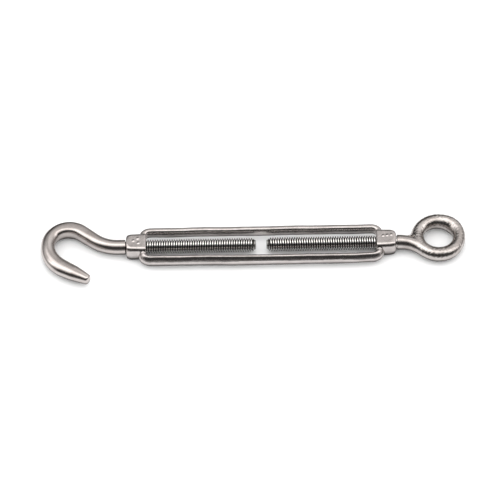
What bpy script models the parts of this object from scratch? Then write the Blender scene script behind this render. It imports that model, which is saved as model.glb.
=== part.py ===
"""Rigging turnbuckle, hook and eye: one cast open frame and two screwed bolts.

Metres, +Z up, lying flat on the undersides of the frame's two bosses.  The screw axis
runs along X, with the hook at -X and the eye at +X.  The eye bolt and its boss have a
right-hand thread and the hook bolt and its boss a left-hand one, so one way of turning
the frame draws both bolts in and the other lets both out.

Everything is laid out from the point where the screw axis passes the frame's middle.
An empty carries that point to its place, so that the origin is the middle of the base.
"""
from math import ceil, cos, pi, radians, sin

import bmesh
import bpy
from mathutils import Matrix, Vector

MM = 0.001
INCH = 25.4 * MM

# Screws: 5/16 inch, 18 threads to the inch
THREAD_RADIUS = 5 / 32 * INCH
PITCH = INCH / 18
THREAD_DEPTH = 0.64 * PITCH
CREST_WIDTH = PITCH / 6
THREAD_PLAY = 0.25 * MM
THREAD_SIDES = 12
GAP = 0.3 * MM

# Frame
FRAME_HALF = 79.3 * MM
BOSS_LENGTH = 11.7 * MM
BOSS_HEIGHT = 10.6 * MM
BOSS_WIDTH_INNER = 14.0 * MM
BOSS_WIDTH_OUTER = 13.2 * MM
BOSS_LONG_EDGE = 2.2 * MM
BOSS_END_EDGE = 0.6 * MM
BOSS_END_RADIUS = 5.6 * MM
BOSS_TURNING_DEPTH = 3.0 * MM
RAIL_INSIDE = 8.9 * MM
RAIL_THICKNESS = 4.2 * MM
RAIL_HEIGHT = 7.2 * MM
RAIL_BULGE = 0.75
RAIL_FLAT = 0.85
RAIL_BEND = 4.75 * MM
RAIL_ROOT = 9.6 * MM
RAIL_START = 2.4 * MM
RAIL_STEP = 1.3 * MM
COUNTERSINK = 0.6 * MM

# Bolts
SHANK_RADIUS = 4.4 * MM
BOLT_SPACING = 6.2 * MM
TIP_LENGTH = 3.3 * MM
TIP_CHAMFER = 0.8 * MM

# Hook: stretches of even curvature from the shoulder to the point, as length and
# degrees turned, a positive turn being to the left
HOOK_COURSE = (
    (4.4 * MM, 0),
    (15.0 * MM, -40),
    (9.5 * MM, 0),
    (24.6 * MM, 117),
    (5.1 * MM, 16),
    (11.1 * MM, 34.5),
    (8.2 * MM, 21),
    (16.7 * MM, 0),
)
HOOK_STEP = 2.4 * MM
# The bar's radius at distances from the shoulder: full at the shank, fuller along the arm
HOOK_RADII = (
    (0.0 * MM, 4.4 * MM),
    (57.0 * MM, 4.2 * MM),
    (78.0 * MM, 4.9 * MM),
    (84.0 * MM, 4.6 * MM),
    (94.6 * MM, 2.8 * MM),
)

# Eye
EYE_OUT = 24.6 * MM
EYE_ASIDE = 2.9 * MM
RING_RADIUS = 12.5 * MM
RING_WIRE_RADIUS = 4.0 * MM
NECK_LANDING = radians(232)
NECK_END_RADIUS = 0.93 * RING_WIRE_RADIUS
NECK_LEAVING = 0.5
NECK_ARRIVING = 0.35
NECK_STEPS = 10

# Cutters and meshes
CUT_MARGIN = 1.0 * MM
ROOT_CLEARANCE = 0.2 * MM
WELD = 0.001 * MM
CONE_SIDES = 32
SHARP_ANGLE = radians(35)

THREAD_ROOT = THREAD_RADIUS - THREAD_DEPTH
BOLT_END = BOLT_SPACING / 2
SCREW_END = BOLT_END + TIP_LENGTH + GAP
SHOULDER = FRAME_HALF + GAP
WINDOW_HALF = FRAME_HALF - BOSS_LENGTH
AXIS_HEIGHT = BOSS_HEIGHT / 2
EYE_CENTRE = Vector((FRAME_HALF + EYE_OUT, EYE_ASIDE, 0))


# ---- helpers

def clear_scene():
    for old in list(bpy.data.objects):
        bpy.data.objects.remove(old, do_unlink=True)


def collection(name):
    made = bpy.data.collections.new(name)
    bpy.context.scene.collection.children.link(made)
    return made


def material(name, colour, roughness):
    made = bpy.data.materials.new(name)
    made.use_nodes = True
    shader = made.node_tree.nodes["Principled BSDF"]
    shader.inputs["Base Color"].default_value = (*colour, 1)
    shader.inputs["Metallic"].default_value = 1
    shader.inputs["Roughness"].default_value = roughness
    return made


def add_object(name, data, group, parent=None):
    made = bpy.data.objects.new(name, data)
    group.objects.link(made)
    made.parent = parent
    return made


def add_cutter(name, data, parent):
    made = add_object(name, data, CUTTERS, parent)
    made.hide_render = True
    made.display_type = "WIRE"
    return made


def mesh_from(bm, name):
    mesh = bpy.data.meshes.new(name)
    bmesh.ops.recalc_face_normals(bm, faces=bm.faces)
    bm.to_mesh(mesh)
    bm.free()
    return mesh


def evaluated_mesh(source, name):
    """The mesh that an object's curve and modifiers make, with loose caps welded."""
    bpy.context.view_layer.update()
    graph = bpy.context.evaluated_depsgraph_get()
    mesh = bpy.data.meshes.new_from_object(source.evaluated_get(graph))
    bm = bmesh.new()
    bm.from_mesh(mesh)
    bpy.data.meshes.remove(mesh)
    bmesh.ops.remove_doubles(bm, verts=bm.verts, dist=WELD)
    return mesh_from(bm, name)


def mirrored(mesh, axis, name):
    """A copy reflected along X (0) or Y (1)."""
    bm = bmesh.new()
    bm.from_mesh(mesh)
    flip = Vector((1, 1, 1))
    flip[axis] = -1
    bmesh.ops.scale(bm, vec=flip, verts=bm.verts)
    bmesh.ops.reverse_faces(bm, faces=bm.faces)
    return mesh_from(bm, name)


def smooth(mesh):
    mesh.shade_smooth()
    mesh.set_sharp_from_angle(angle=SHARP_ANGLE)


def boolean(target, operation, operand):
    cut = target.modifiers.new(f"{operation.lower()}_{operand.name}", "BOOLEAN")
    cut.operation = operation
    cut.solver = "EXACT"
    cut.object = operand


def screw(target, steps, turns=1, rise=0.0):
    """Sweep the target's profile round Z."""
    sweep = target.modifiers.new("sweep", "SCREW")
    sweep.steps = sweep.render_steps = steps
    sweep.iterations = turns
    sweep.screw_offset = rise
    sweep.use_merge_vertices = True
    sweep.merge_threshold = WELD
    return sweep


def profile_mesh(name, outline):
    """An open profile of (radius, distance along Z) points."""
    mesh = bpy.data.meshes.new(name)
    points = [(radius, 0, along) for radius, along in outline]
    mesh.from_pydata(points, [(i, i + 1) for i in range(len(points) - 1)], [])
    return mesh


def turned(name, outline, steps=24):
    """A solid of revolution about X, from (radius, x) points running from high x to low."""
    blank = add_object(name, profile_mesh(name, outline), CUTTERS)
    screw(blank, steps)
    mesh = evaluated_mesh(blank, name)
    bpy.data.objects.remove(blank)
    mesh.transform(Matrix.Rotation(pi / 2, 4, "Y"))
    return mesh


def tube(name, points, radii, resolution=6):
    """A round bar along a flat course, with its own radius at each point."""
    curve = bpy.data.curves.new(name, "CURVE")
    curve.dimensions = "3D"
    curve.bevel_depth = radii[0]
    curve.bevel_resolution = resolution
    curve.use_fill_caps = True
    line = curve.splines.new("POLY")
    line.points.add(len(points) - 1)
    for spot, place, radius in zip(line.points, points, radii):
        spot.co = (*place, 1)
        spot.radius = radius / radii[0]
    bar = add_object(name, curve, CUTTERS)
    mesh = evaluated_mesh(bar, name)
    bpy.data.objects.remove(bar)
    return mesh


def walk(start, heading, course, step):
    """Points along stretches of even curvature, and the distance to each."""
    place, travelled = Vector(start), 0.0
    points, distances = [place.copy()], [0.0]
    for length, turn in course:
        count = ceil(length / step)
        for _ in range(count):
            heading += radians(turn) / count / 2
            place = place + Vector((cos(heading), sin(heading), 0)) * (length / count)
            heading += radians(turn) / count / 2
            travelled += length / count
            points.append(place.copy())
            distances.append(travelled)
    return points, distances


# ---- screw threads

def thread_blank(name, first_turn, turns, play=0.0):
    """A right-hand screw along +X with one sharp-rooted ridge a pitch.

    Turns are counted from the frame's end, so every blank is in step with the others.
    """
    root, crest = THREAD_ROOT + play, THREAD_RADIUS + play
    tooth = (
        (root, 0),
        (crest, (PITCH - CREST_WIDTH) / 2),
        (crest, (PITCH + CREST_WIDTH) / 2),
        (root, PITCH),
    )
    blank = add_object(name, profile_mesh(name, tooth), CUTTERS)
    screw(blank, THREAD_SIDES, turns, PITCH)
    mesh = evaluated_mesh(blank, name)
    bpy.data.objects.remove(blank)

    bm = bmesh.new()
    bm.from_mesh(mesh)
    bpy.data.meshes.remove(mesh)
    ends = bmesh.ops.holes_fill(bm, edges=bm.edges, sides=0)["faces"]
    bmesh.ops.poke(bm, faces=ends)
    bmesh.ops.rotate(bm, matrix=Matrix.Rotation(pi / 2, 3, "Y"), verts=bm.verts)
    bmesh.ops.translate(bm, vec=(FRAME_HALF + first_turn * PITCH, 0, 0), verts=bm.verts)
    return mesh_from(bm, name)


def screw_blank():
    """The long screw of the eye bolt, before its ends are trimmed."""
    inward = ceil((FRAME_HALF - SCREW_END) / PITCH) + 2
    return thread_blank("screw_blank", -inward, inward + 5)


def tap_blank():
    """What cuts the eye boss's thread: the same screw, fatter by the play."""
    inward = ceil(BOSS_LENGTH / PITCH) + 2
    return thread_blank("tap_blank", -inward, inward + 3, THREAD_PLAY)


def screw_trim():
    """Trims the screw to length, with a chamfer at its inner end."""
    over = THREAD_RADIUS + CUT_MARGIN
    lead = over - THREAD_ROOT + ROOT_CLEARANCE
    outer = SHOULDER + 2.2 * PITCH
    return turned("screw_trim", (
        (0, outer),
        (over, outer),
        (over, SCREW_END + lead),
        (over - lead, SCREW_END),
        (0, SCREW_END),
    ))


def rod_tip():
    """The plain point beyond the last thread."""
    inner, outer = BOLT_END, BOLT_END + TIP_LENGTH
    return turned("rod_tip", (
        (0, outer),
        (THREAD_ROOT, outer),
        (THREAD_ROOT, inner + TIP_CHAMFER),
        (THREAD_ROOT - TIP_CHAMFER, inner),
        (0, inner),
    ))


# ---- frame

def runs_along(edge):
    start, end = edge.verts
    return abs(start.co.x - end.co.x) > BOSS_LENGTH / 2


def boss():
    """The eye-end boss: a block with well-rounded long edges, narrower outwards."""
    bm = bmesh.new()
    bmesh.ops.create_cube(bm, size=1)
    for corner in bm.verts:
        outer = corner.co.x > 0
        width = BOSS_WIDTH_OUTER if outer else BOSS_WIDTH_INNER
        corner.co.x = FRAME_HALF if outer else WINDOW_HALF
        corner.co.y *= width
        corner.co.z *= BOSS_HEIGHT
    long_edges = [e for e in bm.edges if runs_along(e)]
    bmesh.ops.bevel(
        bm, geom=long_edges, offset=BOSS_LONG_EDGE, segments=3, affect="EDGES", profile=0.5
    )
    end_edges = [e for e in bm.edges if not runs_along(e)]
    bmesh.ops.bevel(
        bm, geom=end_edges, offset=BOSS_END_EDGE, segments=1, affect="EDGES", profile=0.5
    )
    return mesh_from(bm, "boss")


def boss_turning():
    """A cone that rounds the boss's outer corners and clears the rest of it."""
    outer, inner = FRAME_HALF + CUT_MARGIN, WINDOW_HALF - CUT_MARGIN
    widest = BOSS_END_RADIUS + BOSS_TURNING_DEPTH
    return turned("boss_turning", (
        (0, outer),
        (BOSS_END_RADIUS - CUT_MARGIN, outer),
        (widest, FRAME_HALF - BOSS_TURNING_DEPTH),
        (widest, inner),
        (0, inner),
    ), CONE_SIDES)


def countersink():
    """A cone that opens the outer mouth of the boss's thread."""
    mouth = THREAD_RADIUS + THREAD_PLAY + COUNTERSINK / 2
    deep = mouth - THREAD_ROOT + ROOT_CLEARANCE
    outer = FRAME_HALF + CUT_MARGIN
    return turned("countersink", (
        (0, outer),
        (mouth + CUT_MARGIN, outer),
        (mouth - deep, FRAME_HALF - deep),
        (0, FRAME_HALF - deep),
    ), CONE_SIDES)


def rail_course():
    """The far rail's middle line, from inside one boss round to inside the other."""
    middle = RAIL_INSIDE + RAIL_THICKNESS / 2
    start = (-(FRAME_HALF - RAIL_ROOT), RAIL_START, 0)
    quarter = radians(90)
    course = ((middle - RAIL_START - RAIL_BEND, 0), (RAIL_BEND * quarter, -90))
    points, _ = walk(start, quarter, course, RAIL_STEP)
    return points + [Vector((-p.x, p.y, 0)) for p in reversed(points)]


def rail():
    """The far rail: flat towards the screws, round outside."""
    section = bpy.data.curves.new("rail_section", "CURVE")
    section.dimensions = "2D"
    outline = section.splines.new("POLY")
    flat, bulge, half = -RAIL_THICKNESS / 2, RAIL_THICKNESS * RAIL_BULGE, RAIL_HEIGHT / 2
    turns = (-90, -67.5, -45, -22.5, 0, 22.5, 45, 67.5, 90)
    arc = [
        Vector((flat + RAIL_THICKNESS - bulge + bulge * cos(a), half * sin(a)))
        for a in map(radians, turns)
    ]
    corners = [Vector((flat, half * RAIL_FLAT)), Vector((flat, -half * RAIL_FLAT))]
    outline.points.add(len(arc) + len(corners) - 1)
    for spot, place in zip(outline.points, arc + corners):
        spot.co = (place.x, place.y, 0, 1)
    outline.use_cyclic_u = True
    shape = add_object("rail_section", section, CUTTERS)

    curve = bpy.data.curves.new("rail", "CURVE")
    curve.dimensions = "3D"
    curve.twist_mode = "Z_UP"
    curve.bevel_mode = "OBJECT"
    curve.bevel_object = shape
    curve.use_fill_caps = True
    course = rail_course()
    line = curve.splines.new("POLY")
    line.points.add(len(course) - 1)
    for spot, place in zip(line.points, course):
        spot.co = (*place, 1)
    bar = add_object("rail", curve, CUTTERS)
    mesh = evaluated_mesh(bar, "rail")
    bpy.data.objects.remove(bar)
    bpy.data.objects.remove(shape)
    return mesh


def build_frame(parent):
    block, turning, tap, sink = boss(), boss_turning(), tap_blank(), countersink()
    sides = {
        "eye": (block, turning, tap, sink),
        "hook": tuple(mirrored(m, 0, f"{m.name}_hook") for m in (block, turning, tap, sink)),
    }
    frame = add_object("frame", sides["eye"][0], PART, parent)
    boolean(frame, "INTERSECT", add_cutter("eye_turning", sides["eye"][1], parent))
    hook_boss = add_cutter("hook_boss", sides["hook"][0], parent)
    boolean(hook_boss, "INTERSECT", add_cutter("hook_turning", sides["hook"][1], parent))
    far = rail()
    for operand in (
        hook_boss,
        add_cutter("far_rail", far, parent),
        add_cutter("near_rail", mirrored(far, 1, "near_rail"), parent),
    ):
        boolean(frame, "UNION", operand)
    for end, (_, _, thread, mouth) in sides.items():
        boolean(frame, "DIFFERENCE", add_cutter(f"{end}_tap", thread, parent))
        boolean(frame, "DIFFERENCE", add_cutter(f"{end}_countersink", mouth, parent))
    return frame


# ---- bolts

def hook_radius(distance):
    """The bar's radius at a distance from the shoulder."""
    for (start, before), (end, after) in zip(HOOK_RADII, HOOK_RADII[1:]):
        if distance <= end:
            break
    share = min((distance - start) / (end - start), 1)
    return before + (after - before) * share


def hook_course():
    """The hook's middle line and its radius at each point."""
    points, distances = walk((-SHOULDER, 0, 0), pi, HOOK_COURSE, HOOK_STEP)
    return points, [hook_radius(d) for d in distances]


def neck_course():
    """From the shoulder out to the near side of the ring, ending inside the ring."""
    start = Vector((SHOULDER, 0, 0))
    end = EYE_CENTRE + RING_RADIUS * Vector((cos(NECK_LANDING), sin(NECK_LANDING), 0))
    along = Vector((-sin(NECK_LANDING), cos(NECK_LANDING), 0))
    reach = (end - start).length
    leaving = start + Vector((NECK_LEAVING * reach, 0, 0))
    arriving = end - NECK_ARRIVING * reach * along
    points, radii = [], []
    for i in range(NECK_STEPS + 1):
        t = i / NECK_STEPS
        weights = ((1 - t) ** 3, 3 * t * (1 - t) ** 2, 3 * t * t * (1 - t), t ** 3)
        controls = (start, leaving, arriving, end)
        points.append(sum((w * c for w, c in zip(weights, controls)), Vector((0, 0, 0))))
        radii.append(SHANK_RADIUS + (NECK_END_RADIUS - SHANK_RADIUS) * t)
    return points, radii


def ring():
    bpy.ops.mesh.primitive_torus_add(
        major_radius=RING_RADIUS,
        minor_radius=RING_WIRE_RADIUS,
        major_segments=36,
        minor_segments=14,
        location=(0, 0, 0),
    )
    made = bpy.context.object
    mesh = made.data
    mesh.transform(Matrix.Translation(EYE_CENTRE))
    mesh.name = "ring"
    bpy.data.objects.remove(made)
    return mesh


def build_bolt(name, side, forging, parent):
    """One bolt: its trimmed screw joined to what is forged on its outer end."""
    blank, trim = screw_blank(), screw_trim()
    if side < 0:
        blank, trim = mirrored(blank, 0, f"{name}_blank"), mirrored(trim, 0, f"{name}_trim")
    bolt = add_object(name, blank, PART, parent)
    boolean(bolt, "INTERSECT", add_cutter(f"{name}_trim", trim, parent))
    for piece in forging:
        boolean(bolt, "UNION", add_cutter(f"{name}_{piece.name}", piece, parent))
    return bolt


def middle_of_base():
    """Where the middle of the whole object's box is, seen from the frame's middle."""
    points, radii = hook_course()
    left = min(p.x - r for p, r in zip(points, radii))
    right = EYE_CENTRE.x + RING_RADIUS + RING_WIRE_RADIUS
    arm = (points[-1] - points[-2]).normalized()
    near = points[-1].y - radii[-1] * arm.x
    far = EYE_CENTRE.y + RING_RADIUS + RING_WIRE_RADIUS
    return Vector(((left + right) / 2, (near + far) / 2, -AXIS_HEIGHT))


def build():
    screw_axis = add_object("screw_axis", None, PART)
    screw_axis.location = -middle_of_base()
    cast = material("cast_stainless", (0.63, 0.61, 0.59), 0.28)
    forged = material("forged_stainless", (0.62, 0.60, 0.58), 0.24)
    cut = material("cut_stainless", (0.55, 0.54, 0.52), 0.32)

    tip = rod_tip()
    pieces = (
        (build_frame(screw_axis), cast),
        (build_bolt("hook_bolt", -1, [tube("hook", *hook_course())], screw_axis), forged),
        (build_bolt("eye_bolt", 1, [tube("neck", *neck_course()), ring()], screw_axis), forged),
        (add_object("eye_rod_tip", tip, PART, screw_axis), cut),
        (add_object("hook_rod_tip", mirrored(tip, 0, "hook_rod_tip"), PART, screw_axis), cut),
    )
    for piece, finish in pieces:
        piece.data.materials.clear()
        piece.data.materials.append(finish)
        smooth(piece.data)


clear_scene()
PART = collection("turnbuckle")
CUTTERS = collection("cutters")
build()
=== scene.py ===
"""The look of the hook-and-eye rigging turnbuckle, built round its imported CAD.

Lengths are in millimetres in the making and become metres where a mesh is made. Shapes are laid
out from the point where the screw axis passes the frame's middle, with X along the screws, the
eye at +X and the hook at -X, the near rail at -Y and the far one at +Y, and Z up. The hook bolt is
shaped along +X like the eye bolt, and reflected when it becomes a mesh.
"""

from math import cos, pi, radians, sin

import bmesh
import bpy
import numpy as np
from mathutils import Matrix, Vector, noise


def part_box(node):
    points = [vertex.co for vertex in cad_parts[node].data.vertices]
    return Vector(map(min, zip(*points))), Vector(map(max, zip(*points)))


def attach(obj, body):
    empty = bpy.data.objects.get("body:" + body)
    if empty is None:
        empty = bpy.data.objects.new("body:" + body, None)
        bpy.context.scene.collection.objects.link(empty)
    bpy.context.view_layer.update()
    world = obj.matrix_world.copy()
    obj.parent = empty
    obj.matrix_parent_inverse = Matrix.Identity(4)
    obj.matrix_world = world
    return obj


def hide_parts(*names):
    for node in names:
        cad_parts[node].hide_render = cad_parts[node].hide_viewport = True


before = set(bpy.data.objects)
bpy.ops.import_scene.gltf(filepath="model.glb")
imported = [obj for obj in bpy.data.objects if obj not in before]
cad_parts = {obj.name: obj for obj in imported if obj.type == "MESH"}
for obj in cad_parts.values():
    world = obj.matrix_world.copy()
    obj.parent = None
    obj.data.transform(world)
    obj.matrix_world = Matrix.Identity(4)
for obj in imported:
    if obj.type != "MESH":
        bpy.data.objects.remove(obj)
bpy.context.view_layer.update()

MM = 0.001

# The screws
THREAD_RADIUS = 3.969
PITCH = 25.4 / 18
THREAD_ROOT = THREAD_RADIUS - 0.64 * PITCH
ROD_END = 3.1
SCREW_START = ROD_END + 0.9
END_FACE = ((0, 2.35), (0.12, 2.6), (0.4, 2.82), (1.3, 2.82))  # depth from the face, and radius
TOOTH = (  # place across one pitch, and share of the thread's depth
    (0.0, 1.0), (0.13, 1.0), (0.18, 0.97), (0.22, 0.86), (0.29, 0.50), (0.37, 0.14), (0.42, 0.03),
    (0.50, 0.0), (0.58, 0.03), (0.63, 0.14), (0.71, 0.50), (0.78, 0.86), (0.82, 0.97), (0.87, 1.0),
)
THREAD_PHASE = 1.02  # pitches from the first crest made to the screw's start
LEAD_IN_DEPTH = 0.15
LEAD_IN_SLOPE = 1.1
RUN_OUT_SLOPE = 0.8

# The frame's bosses
FRAME_HALF = 79.3
BOSS_LENGTH = 11.7
BOSS_HEIGHT = 10.6
BOSS_WIDTH_INNER = 14.0
BOSS_WIDTH_OUTER = 13.2
BOSS_LONG_EDGE = 2.8
BOSS_END_EDGE = 0.45
BOSS_END_RADIUS = (6.3, 5.7)  # of the cones turned on the hook's and the eye's boss
BOSS_CONE_BLEND = 1.6
BORE_RADIUS = THREAD_RADIUS + 0.11
COUNTERSINK = 0.45
BORE_EDGE = 0.25
PIPS = ((-74.8, 0.2), (-72.2, 1.9), (-71.9, -1.5), (71.6, 0.6), (74.0, 0.9), (76.4, 1.2))
PIP_RADIUS = 0.85
PIP_SUNK = 0.45
PIP_FILLET = 0.35

# The frame's rails, with the near one's value first where there are two
RAIL_MIDDLE = 10.85
RAIL_HALF_WIDTH = (2.5, 2.1)
RAIL_HALF_HEIGHT = (3.5, 3.15)
RAIL_BEND = 4.75
RAIL_STRAIGHT_HALF = 64.95
RAIL_FILLET = 0.8
NEAR_RAIL_SPREAD = 0.7
FAR_RAIL_INSET = 0.45

# Squareness of a rail's section, where 2 is an ellipse and more is squarer
RAIL_INNER_POWER = 2.2
FAR_OUTER_POWER = 2.9
NEAR_OUTER_TOP_POWER = 1.4
NEAR_OUTER_BOTTOM_POWER = 2.4

# The bolts' shanks and the hook
SHANK_RADIUS = 4.4
SHANK_BEVEL = 0.35
SHOULDER = FRAME_HALF + 0.3
HOOK_COURSE = (  # length of each stretch, and the degrees through which it turns
    (4.4, 0), (15.0, -40), (9.5, 0), (24.6, 117), (5.1, 16), (11.1, 34.5), (8.2, 21), (16.7, 0),
)
HOOK_SECTIONS = (  # distance from the shoulder, half width, half height and squareness
    (0, 4.4, 4.4, 2.0), (8, 4.4, 4.4, 2.0), (20, 4.35, 4.4, 2.3), (36, 4.35, 4.35, 3.3),
    (47, 4.2, 4.45, 2.2), (57, 4.1, 4.45, 2.1), (68, 4.8, 4.4, 2.2), (76, 5.25, 4.35, 2.1),
    (84, 4.75, 4.2, 2.1), (89, 3.8, 3.7, 2.2), (94.6, 2.6, 2.8, 2.4),
)
HOOK_STRAIGHT_START = 0.5
HOOK_BLUNT = 1.3

# The eye
EYE_CENTRE = (FRAME_HALF + 24.6, 2.9)
RING_RADIUS = 12.5
RING_WIRE_RADIUS = 4.0
DENT_DEPTH = 0.04

# What makes the ring uneven: an amount, and its place and spread in degrees round the ring
RING_BULGE = (0.5, 280, 35)
RING_ROOT_SWELL = (0.5, 196, 22)
RING_CANT = (0.35, 38, 32)

# What the ring is short of its radii along the pull, and what its wire gains beside the hole
RING_SHORT = 0.2
WIRE_SHORT = 0.35
WIRE_SIDE_GAIN = 0.6

# The neck between the shank and the ring
NECK_LANDING = radians(232)
NECK_HANDLES = (0.5, 0.35)
NECK_END_RADIUS = 0.95 * RING_WIRE_RADIUS
NECK_START_EDGE = 0.5
NOTCH_SIDE = 2.0
NOTCH_FILLET = 3.4
NECK_FILLET = 0.7
EYE_SCREW_OVERLAP = 1.5

# The meshes
AROUND = 56
EDGE_ANGLE = radians(38)
FRAME_CELL = 0.32
EYE_CELL = 0.3
FRAME_GRAINS = ((0.05, 5.0, 1), (0.022, 1.6, 2), (0.014, 0.8, 3))  # depth, size and seed
EYE_GRAINS = ((0.07, 7.0, 4), (0.02, 2.0, 5))
SEED_STEP = (17.3, 5.1, 9.7)
WELD = 0.001
PAINT_MARGIN = 0.05


# ---- shapes given by a field that is negative inside

def smooth_min(a, b, blend):
    share = np.clip(0.5 + 0.5 * (b - a) / blend, 0, 1)
    return b + (a - b) * share - blend * share * (1 - share)


def smooth_max(a, b, blend):
    return -smooth_min(-a, -b, blend)


def rounded_max(a, b, radius):
    a, b = a + radius, b + radius
    return np.hypot(np.maximum(a, 0), np.maximum(b, 0)) + np.minimum(np.maximum(a, b), 0) - radius


def surface_nets(field, low, high, cell):
    """The points and quads of a closed surface round the places where field is negative."""
    axes = [np.arange(a, b + cell, cell) for a, b in zip(low, high)]
    value = np.stack([
        field(*(g[0] for g in np.meshgrid([x], axes[1], axes[2], indexing="ij")))
        for x in axes[0]
    ])
    inside = value < 0
    count = sum(
        inside[i:i - 1 or None, j:j - 1 or None, k:k - 1 or None].astype(np.int8)
        for i in (0, 1) for j in (0, 1) for k in (0, 1)
    )
    mixed = (count > 0) & (count < 8)
    cells = np.stack(np.nonzero(mixed), axis=1)
    index = np.full(mixed.shape, -1)
    index[mixed] = np.arange(len(cells))

    # Each point is the middle of the places where the surface cuts its cell's twelve edges
    total, hits = np.zeros((len(cells), 3)), np.zeros(len(cells))
    for axis in range(3):
        first, second = (a for a in range(3) if a != axis)
        for da in (0, 1):
            for db in (0, 1):
                start = cells.copy()
                start[:, first] += da
                start[:, second] += db
                end = start.copy()
                end[:, axis] += 1
                a, b = value[tuple(start.T)], value[tuple(end.T)]
                cut = (a < 0) != (b < 0)
                place = start.astype(float)
                place[cut, axis] += a[cut] / (a[cut] - b[cut])
                total[cut] += place[cut]
                hits[cut] += 1
    points = total / hits[:, None] * cell + np.array(low)

    # Each edge that the surface cuts is ringed by four cells, whose points make a quad
    quads = []
    for axis in range(3):
        u, v = (axis + 1) % 3, (axis + 2) % 3
        below = np.take(inside, range(inside.shape[axis] - 1), axis)
        above = np.take(inside, range(1, inside.shape[axis]), axis)
        edges = np.stack(np.nonzero(below != above), axis=1)
        edges = edges[(edges[:, u] > 0) & (edges[:, v] > 0)]
        outward = below[tuple(edges.T)]
        step_u, step_v = np.eye(3, dtype=int)[u], np.eye(3, dtype=int)[v]
        ring = np.stack([
            index[tuple((edges - s).T)] for s in (0 * step_u, step_u, step_u + step_v, step_v)
        ], axis=1)
        ring[~outward] = ring[~outward][:, ::-1]
        quads.append(ring)
    return points, np.concatenate(quads)


def gradient(field, points, reach=0.02):
    steps = reach * np.eye(3)
    return np.stack([
        (field(*(points + s).T) - field(*(points - s).T)) / (2 * reach) for s in steps
    ], axis=1)


def settled(field, points, quads, rounds=5):
    """The points brought on to the surface itself, and evenly spread over it."""
    edges = np.concatenate([quads[:, [i, (i + 1) % 4]] for i in range(4)])
    degree = np.bincount(edges[:, 0], minlength=len(points))[:, None]
    for left in reversed(range(rounds)):
        slope = gradient(field, points)
        steep = (slope * slope).sum(1)[:, None]
        points = points - field(*points.T)[:, None] / steep * slope
        if left:
            near = np.stack([
                np.bincount(edges[:, 0], points[edges[:, 1], k], minlength=len(points))
                for k in range(3)
            ], axis=1) / degree
            shift = near - points
            points = points + 0.5 * (shift - (shift * slope).sum(1)[:, None] / steep * slope)
    return points


def roughened(field, points, grains):
    """The points moved along the surface's normals by noise of (depth, size, seed) grains."""
    slope = gradient(field, points)
    normals = slope / np.linalg.norm(slope, axis=1)[:, None]
    depth = np.zeros(len(points))
    for amount, size, seed in grains:
        offset = Vector([seed * step for step in SEED_STEP])
        depth += amount * np.array([
            noise.noise(Vector(p) / size + offset) for p in points.tolist()
        ])
    return points + depth[:, None] * normals


def field_shape(field, low, high, cell, grains):
    """The roughened points and the quads of a field's surface."""
    points, quads = surface_nets(field, low, high, cell)
    points = roughened(field, settled(field, points, quads), grains)
    return points, quads.tolist()


# ---- the frame

def waves(x, seed):
    """The slow unevenness of a casting, between -1 and 1, that fades out before the bosses."""
    fade = np.clip((66 - np.abs(x)) / 10, 0, 1)
    return (0.6 * np.sin(x / 8.7 + 1.9 * seed) + 0.4 * np.sin(x / 4.3 + 0.7 * seed)) * fade


def rail_inset(x, far):
    """How far a rail lies towards the screws. The near rail bows out from x = -30 to 60."""
    spread = NEAR_RAIL_SPREAD / 2 * (np.tanh((x + 30) / 15) - np.tanh((x - 60) / 8))
    return np.where(far, FAR_RAIL_INSET + 0.16 * waves(x, 1.0), 0.10 * waves(x, 2.6) - spread)


def rail_swell(x, far):
    """What a rail's half height gains. The near rail is higher towards the hook."""
    taper = 0.15 * np.tanh((20 - x) / 25)
    return np.where(far, 0.10 * waves(x, 3.9), 0.08 * waves(x, 5.2) + taper)


def rail_power(outward, z, far):
    """How square a rail's section is on its inner and outer side."""
    near_outer = np.where(z > 0, NEAR_OUTER_TOP_POWER, NEAR_OUTER_BOTTOM_POWER)
    return np.where(outward > 0, np.where(far, FAR_OUTER_POWER, near_outer), RAIL_INNER_POWER)


def rail_field(x, y, z):
    """The two rails, each bent inwards at its ends on a quarter circle."""
    far = y > 0
    along = np.abs(x) - RAIL_STRAIGHT_HALF
    across = np.abs(y) + rail_inset(x, far) - (RAIL_MIDDLE - RAIL_BEND)
    bent = np.where(across > 0, np.hypot(along, across), along)
    outward = np.where(along < 0, across, bent) - RAIL_BEND
    half_width = np.where(far, RAIL_HALF_WIDTH[1], RAIL_HALF_WIDTH[0])
    half_height = np.where(far, RAIL_HALF_HEIGHT[1], RAIL_HALF_HEIGHT[0]) + rail_swell(x, far)
    power = rail_power(outward, z, far)
    reach = (np.abs(outward) / half_width) ** power + (np.abs(z) / half_height) ** power
    return (reach ** (1 / power) - 1) * half_width


def boss_field(x, y, z):
    """Both bosses, each with its outer corners turned down to a 45 degree cone."""
    end_radius = np.where(x < 0, *BOSS_END_RADIUS)
    x, y, z = np.abs(x), np.abs(y), np.abs(z)
    out = x - (FRAME_HALF - BOSS_LENGTH)
    width = BOSS_WIDTH_INNER + (BOSS_WIDTH_OUTER - BOSS_WIDTH_INNER) * out / BOSS_LENGTH
    section = rounded_max(y - width / 2, z - BOSS_HEIGHT / 2, BOSS_LONG_EDGE)
    block = rounded_max(section, np.abs(out - BOSS_LENGTH / 2) - BOSS_LENGTH / 2, BOSS_END_EDGE)
    cone = (np.hypot(y, z) - end_radius - (FRAME_HALF - x)) * cos(pi / 4)
    return smooth_max(block, cone, BOSS_CONE_BLEND)


def pips_field(x, y, z):
    """Raised pips cast on the bosses' tops: a triangle at the hook and a row at the eye."""
    above = z - BOSS_HEIGHT / 2 + PIP_SUNK
    return np.minimum.reduce([
        np.sqrt((x - px) ** 2 + (y - py) ** 2 + above ** 2) - PIP_RADIUS for px, py in PIPS
    ])


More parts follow.
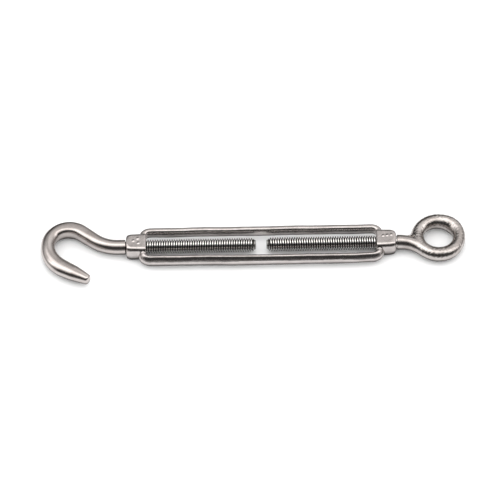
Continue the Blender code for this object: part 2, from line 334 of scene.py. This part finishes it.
def bore_field(x, y, z):
    """The screw's hole through each boss, countersunk at both ends."""
    around, x = np.hypot(y, z), np.abs(x)
    sink = np.minimum(np.abs(FRAME_HALF - x), np.abs(x - FRAME_HALF + BOSS_LENGTH))
    cone = (around - BORE_RADIUS - COUNTERSINK + sink) * cos(pi / 4)
    return np.minimum(around - BORE_RADIUS, cone)


def frame_field(x, y, z):
    solid = smooth_min(boss_field(x, y, z), rail_field(x, y, z), RAIL_FILLET)
    solid = smooth_min(solid, pips_field(x, y, z), PIP_FILLET)
    return smooth_max(solid, -bore_field(x, y, z), BORE_EDGE)


def frame_shape():
    high = (FRAME_HALF + 1, RAIL_MIDDLE + 3, BOSS_HEIGHT / 2 + 1)
    return field_shape(frame_field, [-h for h in high], high, FRAME_CELL, FRAME_GRAINS)


# ---- the bolts

def threaded_rod(inner, outer):
    """A right-hand screw between two places along +X, as points and quads, with open ends."""
    samples = len(TOOTH)
    turns = int((outer - inner) / PITCH) + 4
    column = np.arange(turns * samples)
    place, depth = np.array(TOOTH)[column % samples].T
    place = place + column // samples
    lag = np.arange(AROUND)[:, None] / AROUND
    x = inner - THREAD_PHASE * PITCH + PITCH * (place[None, :] + lag)
    radius = THREAD_ROOT + (THREAD_RADIUS - THREAD_ROOT) * np.broadcast_to(depth, x.shape)
    x = np.clip(x, inner, outer)
    lead_in = THREAD_ROOT - LEAD_IN_DEPTH + (x - inner) * LEAD_IN_SLOPE
    run_out = THREAD_ROOT + (outer - x) * RUN_OUT_SLOPE
    radius = np.minimum(radius, np.minimum(lead_in, run_out))
    angle = 2 * pi * lag
    points = np.stack([x, radius * np.cos(angle), radius * np.sin(angle)], axis=2).reshape(-1, 3)

    # Once round the screw, the last row joins the first one a pitch further along
    row = len(column)
    within = (x[:, :-1] < outer) & (x[:, 1:] > inner)
    quads = []
    for i in range(AROUND):
        beside, skip = (i + 1, 0) if i + 1 < AROUND else (0, samples)
        for j in range(row - 1 - skip):
            if within[i, j] or within[beside, j + skip]:
                a, b = i * row + j, beside * row + j + skip
                quads.append((a, b, b + 1, a + 1))
    return points, quads


def bar(stations, start=0):
    """Rings round a flat course. A station is x, y, heading, half width, half height, power."""
    angle = 2 * pi * np.arange(AROUND) / AROUND
    c, s = np.cos(angle), np.sin(angle)
    points = []
    for x, y, heading, width, height, power in stations:
        across = width * np.sign(c) * np.abs(c) ** (2 / power)
        up = height * np.sign(s) * np.abs(s) ** (2 / power)
        points.append(np.stack([x - across * sin(heading), y + across * cos(heading), up], 1))
    quads = []
    for base in range(start, start + (len(stations) - 1) * AROUND, AROUND):
        for i in range(AROUND):
            a, b = base + i, base + (i + 1) % AROUND
            quads.append((a, b, b + AROUND, a + AROUND))
    return np.concatenate(points), quads


def hook_stations(step=0.45, softness=5.0, fine_step=0.05):
    """The hook's stations from the shoulder to the blunt point, its turns run into each other."""
    lengths, turns = zip(*HOOK_COURSE)
    length = sum(lengths)
    fine = np.arange(-softness, length + softness, fine_step)
    heading = np.interp(fine, np.cumsum((0, *lengths)), -np.radians(np.cumsum((0, *turns))))
    window = int(softness / fine_step) | 1
    kernel = np.hanning(window + 2)[1:-1]
    heading = np.convolve(np.pad(heading, window // 2, mode="edge"), kernel / kernel.sum(), "valid")
    heading[fine < HOOK_STRAIGHT_START] = 0
    x = np.concatenate([[0], np.cumsum(np.cos(heading[:-1]) * fine_step)])
    y = np.concatenate([[0], np.cumsum(np.sin(heading[:-1]) * fine_step)])
    first = np.searchsorted(fine, 0)
    x, y = x - x[first] + SHOULDER, y - y[first]

    along = np.concatenate([
        np.arange(0, length - HOOK_BLUNT, step),
        length - HOOK_BLUNT * (1 - np.sin(np.radians(range(0, 91, 15)))),
    ])
    px, py, ph = (np.interp(along, fine, k) for k in (x, y, heading))
    at, *sections = zip(*HOOK_SECTIONS)
    wide, tall, power = (np.interp(along, at, column) for column in sections)
    left = np.clip(HOOK_BLUNT - (length - along), 0, HOOK_BLUNT)
    inset = HOOK_BLUNT - np.sqrt(HOOK_BLUNT ** 2 - left ** 2)
    return list(zip(px, py, ph, wide - inset, tall - inset, power))


def with_shank(stations):
    """Stations that step up at the shoulder from the screw to the shank's full thickness."""
    rows = [(0, THREAD_ROOT)] + [
        (SHANK_BEVEL * along, SHANK_RADIUS - SHANK_BEVEL * inset)
        for along, inset in ((0, 1), (0.3, 0.3), (1, 0))
    ]
    foot = [(SHOULDER + along, 0, 0, radius, radius, 2) for along, radius in rows]
    return foot + [s for s in stations if s[0] > SHOULDER + SHANK_BEVEL + 0.05]


def neck_course(count=36):
    """The eye bolt's shank as it curves from the screw axis into the ring, with its radii."""
    start = np.array([SHOULDER, 0.0])
    end = np.array(EYE_CENTRE) + RING_RADIUS * np.array([cos(NECK_LANDING), sin(NECK_LANDING)])
    along = np.array([-sin(NECK_LANDING), cos(NECK_LANDING)])
    reach = np.linalg.norm(end - start)
    leave, arrive = NECK_HANDLES
    controls = (start, start + (leave * reach, 0), end - arrive * reach * along, end)
    t = np.linspace(0, 1, count + 1)[:, None]
    weights = ((1 - t) ** 3, 3 * t * (1 - t) ** 2, 3 * t * t * (1 - t), t ** 3)
    course = sum(w * c for w, c in zip(weights, controls))
    return course, SHANK_RADIUS + (NECK_END_RADIUS - SHANK_RADIUS) * t[:, 0]


NECK, NECK_RADII = neck_course()


def neck_field(x, y, z):
    best = np.full(np.shape(x), np.inf)
    for (ax, ay), (bx, by), r, s in zip(NECK, NECK[1:], NECK_RADII, NECK_RADII[1:]):
        dx, dy = bx - ax, by - ay
        t = np.clip(((x - ax) * dx + (y - ay) * dy) / (dx * dx + dy * dy), 0, 1)
        away = np.sqrt((x - ax - t * dx) ** 2 + (y - ay - t * dy) ** 2 + z * z)
        best = np.minimum(best, away - r - (s - r) * t)
    return smooth_max(best, SHOULDER - x, NECK_START_EDGE)


def dents(x, y, z):
    """Hammer marks about two millimetres across: three crossing sets of bent waves."""
    x, y, z = 1.7 * x, 1.7 * y, 1.7 * z
    a = np.sin(1.9 * x + 0.7 * y + 1.1 * np.sin(1.3 * z + 0.9 * y))
    b = np.sin(0.8 * x - 1.7 * y + 1.2 * z + 1.3 * np.sin(1.1 * x))
    c = np.sin(1.2 * z - 1.4 * x + 0.9 * np.sin(1.6 * y + 0.5))
    return (a + b + c) / 2


def hump(angle, amount, place, spread):
    return amount * np.exp(-((angle - place) / spread) ** 2)


def ring_field(x, y, z):
    """A hammered ring, wider and thicker across the pull, and canted on its far outer part.

    The cant shears its section: up outside the middle of the wire, and down inside it.
    """
    dx, dy = x - EYE_CENTRE[0], y - EYE_CENTRE[1]
    angle = np.degrees(np.arctan2(dy, dx)) % 360
    side = np.sin(np.radians(angle)) ** 2
    radius = RING_RADIUS - RING_SHORT + RING_SHORT * side + hump(angle, *RING_BULGE)
    thick = RING_WIRE_RADIUS - WIRE_SHORT + WIRE_SIDE_GAIN * side + hump(angle, *RING_ROOT_SWELL)
    thick = thick + DENT_DEPTH * dents(x, y, z)
    out = np.hypot(dx, dy) - radius
    return np.hypot(out, z - hump(angle, *RING_CANT) * out) - thick


def eye_field(x, y, z):
    """The ring on its neck, with a wide fillet in the notch on the neck's far side."""
    blend = np.where(y > NOTCH_SIDE, NOTCH_FILLET, NECK_FILLET)
    return smooth_min(neck_field(x, y, z), ring_field(x, y, z), blend)


def eye_shape():
    reach = RING_RADIUS + RING_WIRE_RADIUS + 1.5
    depth = RING_WIRE_RADIUS + 2
    low = (SHOULDER - 1, EYE_CENTRE[1] - reach, -depth)
    high = (EYE_CENTRE[0] + reach, EYE_CENTRE[1] + reach, depth)
    return field_shape(eye_field, low, high, EYE_CELL, EYE_GRAINS)


# ---- pieces

MIDDLE = sum(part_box("frame"), Vector()) / 2
AXIS = Matrix.Translation(MIDDLE) @ Matrix.Scale(MM, 4)


def shape_mesh(name, points, quads, flip=False):
    """A closed mesh in the object's own place. With flip, the shape is reflected along X."""
    bm = bmesh.new()
    turn = -1 if flip else 1
    verts = [bm.verts.new((turn * x, y, z)) for x, y, z in np.asarray(points).tolist()]
    for quad in quads:
        corners = [verts[i] for i in quad]
        bm.faces.new(corners[::-1] if flip else corners)
    bmesh.ops.remove_doubles(bm, verts=bm.verts, dist=WELD)
    loose = [v for v in bm.verts if not v.link_faces]
    bmesh.ops.delete(bm, geom=loose, context="VERTS")
    bmesh.ops.holes_fill(bm, edges=bm.edges, sides=0)
    bmesh.ops.recalc_face_normals(bm, faces=bm.faces)
    bmesh.ops.transform(bm, matrix=AXIS, verts=bm.verts)
    mesh = bpy.data.meshes.new(name)
    bm.to_mesh(mesh)
    bm.free()
    return mesh


def add_piece(name, mesh, body, slot, node, *materials):
    piece = bpy.data.objects.new(name, mesh)
    bpy.context.scene.collection.objects.link(piece)
    for finish in materials:
        mesh.materials.append(finish)
    mesh.shade_smooth()
    mesh.set_sharp_from_angle(angle=EDGE_ANGLE)
    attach(piece, body)
    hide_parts(node)


def paint_threads(mesh):
    """Gives the second material to the faces of the screw."""
    limit = (SHOULDER - PAINT_MARGIN) * MM
    for face in mesh.polygons:
        if abs(face.center.x - MIDDLE.x) < limit:
            face.material_index = 1


def joined(name, base, other):
    """The union of two closed meshes, as one."""
    keep, add = bpy.data.objects.new(name, base), bpy.data.objects.new("add", other)
    for o in (keep, add):
        bpy.context.scene.collection.objects.link(o)
    union = keep.modifiers.new("union", "BOOLEAN")
    union.operation, union.solver, union.object = "UNION", "EXACT", add
    bpy.context.view_layer.update()
    graph = bpy.context.evaluated_depsgraph_get()
    mesh = bpy.data.meshes.new_from_object(keep.evaluated_get(graph))
    for o in (keep, add):
        bpy.data.objects.remove(o)
    mesh.name = name
    return mesh


def build_frame(cast):
    mesh = shape_mesh("turnbuckle_frame", *frame_shape())
    add_piece("turnbuckle_frame", mesh, "frame", "cast_stainless", "frame", cast)


def build_hook_bolt(forged, cut):
    rod, rod_quads = threaded_rod(SCREW_START, SHOULDER)
    shank, shank_quads = bar(with_shank(hook_stations()), len(rod))
    mesh = shape_mesh("hook_forging", np.concatenate([rod, shank]), rod_quads + shank_quads, True)
    paint_threads(mesh)
    add_piece("hook_forging", mesh, "hook_bolt", "forged_stainless", "hook_bolt", forged, cut)


def build_eye_bolt(struck, cut):
    screw = shape_mesh("eye_screw", *threaded_rod(SCREW_START, SHOULDER + EYE_SCREW_OVERLAP))
    mesh = joined("eye_forging", shape_mesh("eye_ring", *eye_shape()), screw)
    paint_threads(mesh)
    add_piece("eye_forging", mesh, "eye_bolt", "forged_stainless", "eye_bolt", struck, cut)


def build_rod_face(end, flip, faced):
    """The plain faced end of a screw, which slides with its bolt but doesn't turn."""
    shape = bar([(ROD_END + depth, 0, 0, radius, radius, 2) for depth, radius in END_FACE])
    mesh = shape_mesh(f"{end}_rod_face", *shape, flip)
    add_piece(f"{end}_rod_face", mesh, f"{end}_slide", "cut_stainless", f"{end}_rod_tip", faced)


# ---- materials

# Painted shade: a screw's tint darkens from its crests down to its roots by the distance from its
# axis, standing in for the shade in the thread's grooves
ROOT_SHADE_TINT = (0.13, 0.125, 0.12, 1)
ROOT_SHADE_BELOW = THREAD_ROOT + 0.3
CREST_TINT_ABOVE = THREAD_RADIUS - 0.06
MOTTLE_SCALE = 120  # noise scales are to the metre
SCRATCH_SCALE = (90, 1500, 1500)
NOISE_SPAN = (0.35, 0.65)
SCRATCH_DEPTH = 0.01
GRAIN_DEPTH = 0.05


class Nodes:
    """Short calls for making and joining the nodes of a material or of the world."""

    def __init__(self, tree):
        self.tree = tree

    def add(self, kind, **settings):
        made = self.tree.nodes.new(kind)
        for key, value in settings.items():
            setattr(made, key, value)
        return made

    def link(self, source, target):
        if isinstance(source, (int, float, tuple)):
            target.default_value = source
        else:
            self.tree.links.new(source, target)

    def fill(self, made, values):
        for value, socket in zip(values, made.inputs):
            self.link(value, socket)
        return made

    def math(self, operation, *values):
        return self.fill(self.add("ShaderNodeMath", operation=operation), values).outputs[0]

    def span(self, value, low, high, to_low=0.0, to_high=1.0, how="LINEAR"):
        made = self.add("ShaderNodeMapRange", interpolation_type=how)
        return self.fill(made, (value, low, high, to_low, to_high)).outputs[0]

    def mix(self, share, a, b, how="MIX"):
        made = self.add("ShaderNodeMix", data_type="RGBA", blend_type=how)
        for source, socket in zip((share, a, b), (made.inputs[0], *made.inputs[6:8])):
            self.link(source, socket)
        return made.outputs[2]

    def parts(self, vector):
        return self.fill(self.add("ShaderNodeSeparateXYZ"), (vector,)).outputs

    def noise(self, place, scale, detail, rough):
        made = self.add("ShaderNodeTexNoise")
        self.link(place, made.inputs["Vector"])
        made.inputs["Scale"].default_value = scale
        made.inputs["Detail"].default_value = detail
        made.inputs["Roughness"].default_value = rough
        return made.outputs["Fac"]

    def stretched(self, place, scale):
        made = self.add("ShaderNodeMapping")
        self.link(place, made.inputs["Vector"])
        made.inputs["Scale"].default_value = scale
        return made.outputs[0]

    def bump(self, height, distance, strength, under=None):
        made = self.add("ShaderNodeBump")
        self.link(height, made.inputs["Height"])
        made.inputs["Distance"].default_value = distance
        made.inputs["Strength"].default_value = strength
        if under is not None:
            self.link(under, made.inputs["Normal"])
        return made.outputs[0]


def new_material(name):
    """A material, its nodes and its shader's inputs."""
    material = bpy.data.materials.new(name)
    material.use_nodes = True
    n = Nodes(material.node_tree)
    return material, n, material.node_tree.nodes["Principled BSDF"].inputs


def shaded_roots_tint(n, place, crest_tint):
    """The tint of a screw: its own tint on its crests, and a painted shade, dark by the distance
    from the axis, on its flanks and roots.
    """
    _, y, z = n.parts(place)
    y = n.math("SUBTRACT", y, MIDDLE.y)
    z = n.math("SUBTRACT", z, MIDDLE.z)
    radius = n.math("SQRT", n.math("ADD", n.math("MULTIPLY", y, y), n.math("MULTIPLY", z, z)))
    crest = n.span(radius, ROOT_SHADE_BELOW * MM, CREST_TINT_ABOVE * MM)
    return n.mix(crest, ROOT_SHADE_TINT, crest_tint)


def steel(name, bright, dull, rough, grain, grain_size, scratch, shade_roots=False):
    """Stainless steel: mottled tint and gloss, a fine grain, and scratches along X. With
    shade_roots, a screw's flanks and roots get a painted shade.
    """
    material, n, shader = new_material(name)
    place = n.add("ShaderNodeTexCoord").outputs["Object"]
    cloud = n.noise(place, MOTTLE_SCALE, detail=4, rough=0.55)
    speck = n.noise(place, 1 / (grain_size * MM), detail=3, rough=0.6)
    lines = n.noise(n.stretched(place, SCRATCH_SCALE), 1, detail=4, rough=0.65)
    tint = n.mix(n.span(cloud, *NOISE_SPAN), (*dull, 1), (*bright, 1))
    n.link(shaded_roots_tint(n, place, tint) if shade_roots else tint, shader["Base Color"])
    shader["Metallic"].default_value = 1
    worn = n.math("MULTIPLY_ADD", lines, 0.5, n.math("MULTIPLY", speck, 0.5))
    n.link(n.span(worn, *NOISE_SPAN, *rough), shader["Roughness"])
    scratched = n.bump(lines, SCRATCH_DEPTH * MM, scratch)
    n.link(n.bump(speck, GRAIN_DEPTH * MM, grain, scratched), shader["Normal"])
    return material


def build_object():
    """The steels, each from its bright and dull tint and its roughness, and the five pieces."""
    cast = steel("cast_steel", (0.65, 0.61, 0.595), (0.55, 0.51, 0.495), rough=(0.13, 0.25),
                 grain=0.7, grain_size=0.45, scratch=0.35)
    forged = steel("forged_steel", (0.63, 0.585, 0.565), (0.53, 0.48, 0.46), rough=(0.13, 0.25),
                   grain=0.35, grain_size=0.7, scratch=0.3)
    struck = steel("struck_steel", (0.63, 0.59, 0.57), (0.43, 0.39, 0.37), rough=(0.14, 0.24),
                   grain=0.9, grain_size=0.55, scratch=0.3)
    # Painted highlight: the screw's steel is tinted much brighter than the other steels to brighten
    # its crests' highlights, with painted shade in its roots
    cut = steel("cut_steel_painted_light", (0.92, 0.90, 0.885), (0.84, 0.825, 0.81), rough=(0.12, 0.22),
                grain=0.2, grain_size=0.5, scratch=0.3, shade_roots=True)
    faced = steel("faced_steel", (0.55, 0.535, 0.52), (0.45, 0.44, 0.43), rough=(0.2, 0.34),
                  grain=0.4, grain_size=0.4, scratch=0.3)
    build_frame(cast)
    build_hook_bolt(forged, cut)
    build_eye_bolt(struck, cut)
    build_rod_face("hook", True, faced)
    build_rod_face("eye", False, faced)


# ---- floor, light and camera

FLOOR_HALF = 3.0  # metres
FLOOR_WHITE = (0.92, 0.92, 0.92, 1)
FLOOR_ROUGHNESS = 0.9
FLOOR_SPECULAR = 0.1
NEAR_REACH = (3.2, 6.8)  # distances from the steel over which the mirrored floor's painted shadow pales
NEAR_PAINTED_SHADE = (0.10, 0.74)
FAR_REACH = (20, 80)  # and then darkens to its far painted shade
FAR_PAINTED_SHADE = (0.20, 0.20, 0.20, 1)

SKY = (  # degrees from the near horizon over the top and round below the object, and light
    (-180, 0.20), (-150, 0.20), (-120, 0.18), (-100, 0.16), (-89, 0.20), (-75, 0.42),
    (-57, 0.68), (-35, 0.92), (-16, 0.84), (-6, 0.72), (1, 0.45), (8, 0.14), (17, 0.06),
    (32, 0.04), (47, 0.06), (55, 0.14), (62, 0.55), (69, 1.15), (76, 1.50), (86, 2.15),
    (93, 2.25), (100, 1.45), (108, 0.90), (118, 0.74), (130, 0.80), (141, 0.60), (155, 0.38),
    (168, 0.24), (180, 0.20),
)
SKY_PEAK = 2.5
SIDE_LIGHT = 0.5
SIDE_FADE = (0.88, 1.00)  # cosines of the angle to the X axis over which the sides take over
LOBES = (  # direction, cosines of its edge and core, and light added there or taken away
    ((0.45, 0.62, 0.64), 0.86, 0.97, 0.22),
    ((-0.42, 0.33, 0.85), 0.93, 0.99, 0.8),
    ((-0.30, 0.84, 0.46), 0.84, 0.97, -0.26),
)
SKY_TINT = (1.0, 0.985, 0.97, 1)

LAMP_STRENGTH = 1.9
LAMP_ANGLE = radians(150)
LAMP_TOWARD = (-0.08, 0.05, 1.0)

CAMERA_AZIMUTH = radians(-0.80)
CAMERA_ELEVATION = radians(49.5)
CAMERA_ROLL = radians(-0.46)
CAMERA_DISTANCE = 3070
CAMERA_TARGET = (-2.17, 0.69, 4.36)
VIEW_WIDTH = 293.0832  # at the target
SENSOR_WIDTH = 36


def add_floor():
    """A white floor, whose colour in the steel's mirror is painted dark where it lies close under
    the steel, as painted shadow, and far off, as painted shade.
    """
    half = FLOOR_HALF
    mesh = bpy.data.meshes.new("floor")
    corners = [(-half, -half, 0), (half, -half, 0), (half, half, 0), (-half, half, 0)]
    mesh.from_pydata(corners, [], [(0, 1, 2, 3)])
    material, n, shader = new_material("white_floor_painted_mirror_shade")
    path = n.add("ShaderNodeLightPath").outputs
    # Painted shadow and shade: for mirrored rays the floor's colour darkens by the ray's length,
    # close under the steel and far off
    near = n.span(path["Ray Length"], *(reach * MM for reach in NEAR_REACH), *NEAR_PAINTED_SHADE)
    far = n.span(path["Ray Length"], *(reach * MM for reach in FAR_REACH))
    mirrored = n.mix(far, near, FAR_PAINTED_SHADE)
    n.link(n.mix(path["Is Glossy Ray"], FLOOR_WHITE, mirrored), shader["Base Color"])
    shader["Roughness"].default_value = FLOOR_ROUGHNESS
    shader["Specular IOR Level"].default_value = FLOOR_SPECULAR
    mesh.materials.append(material)
    floor = bpy.data.objects.new("floor", mesh)
    bpy.context.scene.collection.objects.link(floor)


def band_light(n, y, z):
    """The light of SKY by its angle round the X axis, as a share of the peak."""
    ramp = n.add("ShaderNodeValToRGB")
    round_x = n.math("ARCTAN2", z, n.math("MULTIPLY", y, -1.0))
    n.link(n.math("MULTIPLY_ADD", round_x, 0.5 / pi, 0.5), ramp.inputs[0])
    elements = ramp.color_ramp.elements
    while len(elements) < len(SKY):
        elements.new(0.5)
    for element, (degrees, light) in zip(elements, SKY):
        element.position = degrees / 360 + 0.5
        element.color = (light / SKY_PEAK, light / SKY_PEAK, light / SKY_PEAK, 1)
    return ramp.outputs[0]


def add_sky():
    """The studio that the steel mirrors: a bright strip overhead and a dark near wall.

    Camera rays and diffuse rays see plain white instead.
    """
    world = bpy.data.worlds.new("studio")
    bpy.context.scene.world = world
    world.use_nodes = True
    world.node_tree.nodes.clear()
    n = Nodes(world.node_tree)

    direction = n.add("ShaderNodeTexCoord").outputs["Generated"]
    x, y, z = n.parts(direction)
    level = SIDE_LIGHT / SKY_PEAK
    sides = n.span(n.math("ABSOLUTE", x), *SIDE_FADE, how="SMOOTHSTEP")
    light = n.mix(sides, band_light(n, y, z), (level, level, level, 1))
    for lobe, edge, core, extra in LOBES:
        toward = n.add("ShaderNodeVectorMath", operation="DOT_PRODUCT")
        n.link(direction, toward.inputs[0])
        toward.inputs[1].default_value = Vector(lobe).normalized()
        share = n.span(toward.outputs["Value"], edge, core, how="SMOOTHSTEP")
        light = n.mix(1.0, light, n.math("MULTIPLY", share, extra / SKY_PEAK), "ADD")
    light = n.mix(1.0, light, SKY_TINT, "MULTIPLY")

    studio = n.fill(n.add("ShaderNodeBackground"), (light, SKY_PEAK))
    white = n.fill(n.add("ShaderNodeBackground"), ((1, 1, 1, 1),))
    path, out = n.add("ShaderNodeLightPath"), n.add("ShaderNodeOutputWorld")
    plain = n.math("MAXIMUM", path.outputs["Is Camera Ray"], path.outputs["Is Diffuse Ray"])
    choose = n.fill(n.add("ShaderNodeMixShader"), (plain, studio.outputs[0], white.outputs[0]))
    n.link(choose.outputs[0], out.inputs[0])


def add_fill():
    """A wide, soft lamp overhead that lights the floor and isn't mirrored in the steel."""
    lamp = bpy.data.lights.new("ceiling", "SUN")
    lamp.energy = LAMP_STRENGTH
    lamp.angle = LAMP_ANGLE
    holder = bpy.data.objects.new("ceiling", lamp)
    bpy.context.scene.collection.objects.link(holder)
    holder.rotation_euler = Vector(LAMP_TOWARD).to_track_quat("Z", "Y").to_euler()
    holder.visible_glossy = False


def add_camera():
    """A camera on the near side that looks down on the object, turned a little about its view."""
    azimuth, elevation = CAMERA_AZIMUTH, CAMERA_ELEVATION
    back = Vector((
        sin(azimuth) * cos(elevation), -cos(azimuth) * cos(elevation), sin(elevation),
    ))
    level = Vector((cos(azimuth), sin(azimuth), 0))
    upright = back.cross(level)
    right = level * cos(CAMERA_ROLL) + upright * sin(CAMERA_ROLL)
    up = upright * cos(CAMERA_ROLL) - level * sin(CAMERA_ROLL)
    data = bpy.data.cameras.new("camera")
    data.sensor_width = SENSOR_WIDTH
    data.lens = SENSOR_WIDTH * CAMERA_DISTANCE / VIEW_WIDTH
    camera = bpy.data.objects.new("camera", data)
    bpy.context.scene.collection.objects.link(camera)
    place = (Vector(CAMERA_TARGET) + back * CAMERA_DISTANCE) * MM
    camera.matrix_world = Matrix.Translation(place) @ Matrix((right, up, back)).transposed().to_4x4()
    bpy.context.scene.camera = camera


build_object()
add_floor()
add_sky()
add_fill()
add_camera()
bpy.context.scene.view_settings.view_transform = "Standard"
